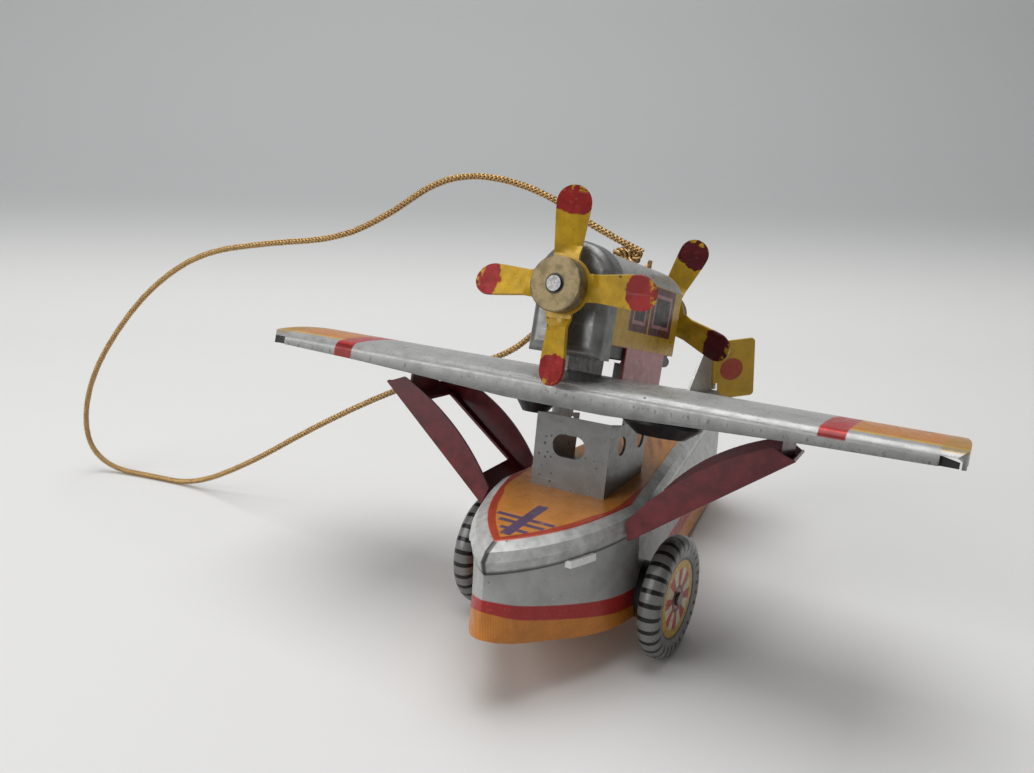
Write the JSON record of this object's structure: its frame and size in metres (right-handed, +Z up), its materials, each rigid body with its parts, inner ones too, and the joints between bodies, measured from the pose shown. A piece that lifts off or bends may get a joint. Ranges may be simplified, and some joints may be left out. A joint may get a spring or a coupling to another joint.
{
  "type": "toy airplane",
  "caption": "Pressed tin toy flying boat on wheels, with a high wing on a pylon and struts, a propeller at each end of its engine housing, a turning rudder and a hanging cord.",
  "frame": {"origin": "on the table, under the middle of the box round the toy without its cord", "axes": "+X to the port wing tip, +Y aft to the rudder, +Z up from the table"},
  "size_m": [0.1781, 0.0958, 0.071],
  "materials": {
    "hull_silver": "worn satin lithographed tin",
    "wing_silver": "worn satin lithographed tin",
    "deck_orange": "worn satin lithographed tin",
    "bare_tin": "bare tinplate",
    "axle_steel": "dull steel wire",
    "black_tin": "black enamel",
    "strut_maroon": "gloss enamel",
    "nacelle_grey": "worn satin lithographed tin",
    "propeller_yellow": "chipped lithographed tin",
    "hub_brass": "worn brass, radial scratches",
    "rudder_yellow": "lithographed tin",
    "wheel_tin": "lithographed tin",
    "gold_cord": "braided metallic thread"
  },
  "bodies": {
    "airframe": {"axle": "axle_steel", "axle_boss_port": "black_tin", "axle_boss_starboard": "black_tin", "bearing_frame": "black_tin", "cord": "gold_cord", "cord_knot": "gold_cord", "cord_stopper": "gold_cord", "deck": "deck_orange", "fin": "wing_silver", "front_washer": "bare_tin", "hull_shell": "hull_silver", "hull_tab_port": "bare_tin", "hull_tab_starboard": "bare_tin", "nacelle_body": "nacelle_grey", "nacelle_front_cap": "wing_silver", "nacelle_rear_cap": "wing_silver", "propeller_shaft": "axle_steel", "pylon": "wing_silver", "rear_washer": "bare_tin", "rudder_pin": "axle_steel", "strut_port": "strut_maroon", "strut_starboard": "strut_maroon", "tailplane": "wing_silver", "wing": "wing_silver", "wing_dish_port": "black_tin", "wing_dish_starboard": "black_tin"},
    "front_propeller": {"front_propeller": "propeller_yellow", "front_hub": "hub_brass"},
    "rear_propeller": {"rear_propeller": "propeller_yellow", "rear_hub": "hub_brass"},
    "wheel_port": {"wheel_port_outer": "wheel_tin", "wheel_port_inner": "wheel_tin", "wheel_port_bush": "bare_tin"},
    "wheel_starboard": {"wheel_starboard_outer": "wheel_tin", "wheel_starboard_inner": "wheel_tin", "wheel_starboard_bush": "bare_tin"},
    "rudder": {"rudder": "rudder_yellow"}
  },
  "joints": [
    {"name": "front_propeller_spin", "type": "hinge", "parent": "airframe", "child": "front_propeller", "pos_m": [0, -0.02658, 0.05722], "axis": [0, 0.9613, -0.2756], "continuous": true},
    {"name": "rear_propeller_spin", "type": "hinge", "parent": "airframe", "child": "rear_propeller", "pos_m": [0, 0.01072, 0.04652], "axis": [0, 0.9613, -0.2756], "continuous": true},
    {"name": "wheel_port_spin", "type": "hinge", "parent": "airframe", "child": "wheel_port", "pos_m": [0.0162, -0.01903, 0.00961], "axis": [1, 0, 0], "continuous": true},
    {"name": "wheel_starboard_spin", "type": "hinge", "parent": "airframe", "child": "wheel_starboard", "pos_m": [-0.0162, -0.01903, 0.00961], "axis": [1, 0, 0], "continuous": true},
    {"name": "rudder_swing", "type": "hinge", "parent": "airframe", "child": "rudder", "pos_m": [0, 0.04177, 0.02521], "axis": [0, -0.1564, 0.9877], "range_deg": [-5, 105]}
  ]
}
